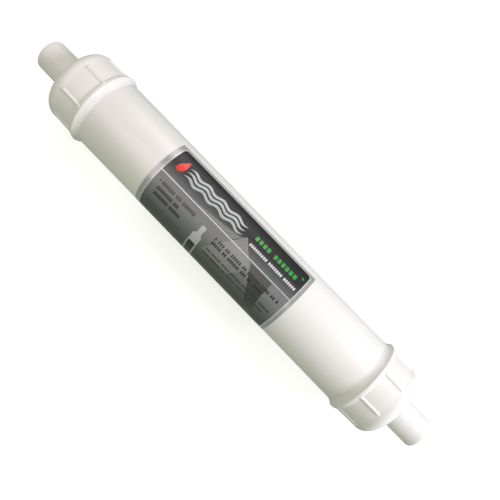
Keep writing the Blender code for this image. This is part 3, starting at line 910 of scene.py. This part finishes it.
def make_label():
    bottom = (LABEL_TOP_ANGLE - LABEL_WRAP) * TUBE_RADIUS
    top = LABEL_TOP_ANGLE * TUBE_RADIUS
    sheet = rectangle(LABEL_START_X, LABEL_END_X, bottom, top)
    film = layer("label_film", [sheet], FILM_BASE, FILM_TOP, "film_silver")
    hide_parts("product_label")

    ink("label_frame_line", [rectangle(
        PANEL_LEFT - FRAME_LINE_WIDTH, PANEL_RIGHT + FRAME_LINE_WIDTH,
        PANEL_BOTTOM - FRAME_LINE_WIDTH, PANEL_TOP + FRAME_LINE_WIDTH, PANEL_CORNER + FRAME_LINE_WIDTH,
    )], 0, "ink_bright_silver")
    panel = rectangle(PANEL_LEFT, PANEL_RIGHT, PANEL_BOTTOM, PANEL_TOP, PANEL_CORNER)
    # The panel's print is darkened towards the tube's underside by painted shade.
    ink("label_panel", [panel], 1, "ink_panel_and_shade")

    ink("label_pale_facet", [PALE_FACET], 2, "ink_pale_facet")
    ink("label_mid_facet", [MID_FACET], 2, "ink_mid_facet")
    ink("label_dark_facet", [DARK_FACET], 2, "ink_dark_facet")
    ink("label_divider", [rectangle(
        PANEL_LEFT, PANEL_RIGHT, DIVIDER - DIVIDER_HALF_WIDTH, DIVIDER + DIVIDER_HALF_WIDTH,
    )], 3, "ink_bright_silver")

    ink("label_drop", [drop_outline(DROP_X, DROP_BOTTOM, DROP_WIDTH, DROP_HEIGHT, DROP_LEAN)], 2, "ink_red")
    waves = []
    for middle in WAVE_MIDDLES:
        waves += wave_strip(WAVES_START, WAVES_END, middle, WAVE_AMPLITUDE, WAVE_LENGTH, WAVE_THICKNESS)
    ink("label_waves", waves, 2, "ink_silver")

    plus_left = PLUS_X - PLUS_HALF_WIDTH
    plus_right = PLUS_X + PLUS_HALF_WIDTH
    plus_low = PLUS_Y - PLUS_HALF_WIDTH
    plus_high = PLUS_Y + PLUS_HALF_WIDTH
    plus = [
        rectangle(PLUS_X - PLUS_ARM, PLUS_X + PLUS_ARM, plus_low, plus_high),
        rectangle(plus_left, plus_right, plus_high, PLUS_Y + PLUS_ARM),
        rectangle(plus_left, plus_right, PLUS_Y - PLUS_ARM, plus_low),
    ]
    ink("label_green_print", print_lines(GREEN_LINES) + plus, 3, "ink_green")
    ink("label_white_print", print_lines(WHITE_LINES), 3, "ink_white")
    bullet = rectangle(*BULLET, 0.0005, 3)
    bold = [*print_lines(LEFT_BOLD_LINES), bullet, *print_lines(RIGHT_BOLD_LINES)]
    ink("label_bold_print", bold, 3, "ink_black")
    ink("label_small_print", print_lines(SMALL_LINES), 3, "ink_fine_black")

    ink("label_cartridge_case", [cartridge_outline()], 3, "ink_case")
    ink("label_cartridge_window", [rectangle(
        CASE_LEFT + CASE_WALL, CASE_RIGHT - CASE_WALL, CASE_BOTTOM, WINDOW_TOP, 0.0004, 3,
    )], 4, "ink_black")


# ---------------------------------------------------------------- fill

def make_fill():
    """The pieces inside the tube keep their CAD shapes and get their materials."""
    materials = {
        "perforated_plate": "natural_plastic", "felt_pad": "felt", "filter_cloth": "cloth",
    }
    for end in ("inlet", "outlet"):
        for piece, material in materials.items():
            paint(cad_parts[f"{end}_{piece}"], material)
    paint(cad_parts["carbon_bed"], "carbon")


def paint(node, material):
    node.data.materials.clear()
    node.data.materials.append(MATERIALS[material])


# ---------------------------------------------------------------- studio

CAMERA_PLACE = Vector((0.02222, 0.00446, 0.3206))
CAMERA_LOOK = Vector((-0.0303, 0.0, -0.99954))
CAMERA_ROLL = math.radians(45.87)


def make_camera():
    """Looks down on the filter, turned so that it lies across the picture's diagonal."""
    camera = bpy.data.objects.new("camera", bpy.data.cameras.new("camera"))
    bpy.context.scene.collection.objects.link(camera)
    camera.data.lens = 36.0
    camera.data.sensor_width = 36.0
    camera.data.clip_start = 0.01
    forward = CAMERA_LOOK.normalized()
    right = forward.cross(Vector((0, 1, 0))).normalized()
    up = right.cross(forward)
    turned_right = math.cos(CAMERA_ROLL) * right + math.sin(CAMERA_ROLL) * up
    turned_up = -math.sin(CAMERA_ROLL) * right + math.cos(CAMERA_ROLL) * up
    axes = Matrix((turned_right, turned_up, -forward)).transposed()
    camera.matrix_world = Matrix.Translation(CAMERA_PLACE) @ axes.to_4x4()
    bpy.context.scene.camera = camera


LIGHTS = [
    # name, place, side of its square, watts, colour
    ("key", (0.810, 0.440, 0.480), 0.36, 10.9, (0.84, 0.86, 1.0)),
    ("top", (-0.300, -0.200, 0.930), 0.80, 3.9, (1.0, 0.82, 0.84)),
    ("end", (0.900, 0.060, 0.120), 0.30, 1.6, (1.0, 0.93, 0.93)),
    ("low_side", (-0.300, 0.860, 0.400), 0.60, 2.9, (1.0, 0.84, 0.96)),
]
SKY_COLOUR = (0.80, 1.0, 0.80)
SKY_STRENGTH = 0.42
FLOOR_SIZE = 6.0


def area_light(name, place, side, energy, colour):
    """A square lamp that faces the filter's middle and doesn't show in the picture."""
    light = bpy.data.lights.new(name, "AREA")
    light.shape = "RECTANGLE"
    light.size, light.size_y = side, side
    light.energy = energy
    light.color = colour
    lamp = bpy.data.objects.new(name, light)
    bpy.context.scene.collection.objects.link(lamp)
    lamp.location = place
    lamp.rotation_euler = (-Vector(place)).to_track_quat("-Z", "Y").to_euler()
    lamp.visible_camera = False


def make_floor():
    """A pale floor under the filter, which doesn't light it or show in its reflections."""
    mesh_data = bmesh.new()
    bmesh.ops.create_grid(mesh_data, x_segments=1, y_segments=1, size=FLOOR_SIZE)
    mesh = bpy.data.meshes.new("floor")
    mesh_data.to_mesh(mesh)
    mesh_data.free()
    floor = bpy.data.objects.new("floor", mesh)
    floor.location.z = cad_box[0][2]
    floor.visible_diffuse = False
    floor.visible_glossy = False
    bpy.context.scene.collection.objects.link(floor)
    material, shader = start_material("floor", Roughness=0.8, Emission_Strength=0.42)
    shader.inputs["Emission Color"].default_value = (1.0, 1.0, 1.0, 1.0)
    position = stretched_position(material, (1, 1, 1))
    drift = noise_texture(material, position, 4.0)
    colour = ramp_between(material, drift, "Fac", [(0.3, (0.90, 0.90, 0.90)), (0.7, (0.92, 0.92, 0.92))])
    link(material, colour, "Color", shader, "Base Color")
    mesh.materials.append(material)


def make_studio():
    """Soft light from the outlet's side and from above, under a pale, slightly green sky."""
    world = bpy.data.worlds.new("studio")
    bpy.context.scene.world = world
    world.use_nodes = True
    background = world.node_tree.nodes["Background"]
    background.inputs["Color"].default_value = (*SKY_COLOUR, 1.0)
    background.inputs["Strength"].default_value = SKY_STRENGTH
    for name, place, side, energy, colour in LIGHTS:
        area_light(name, place, side, energy, colour)
    bpy.context.scene.view_settings.view_transform = "Standard"


make_tube()
for end_name, end_side in (("inlet", -1), ("outlet", 1)):
    make_cap(end_name, end_side)
    make_port(end_name, end_side)
make_label()
make_fill()
make_floor()
make_studio()
make_camera()
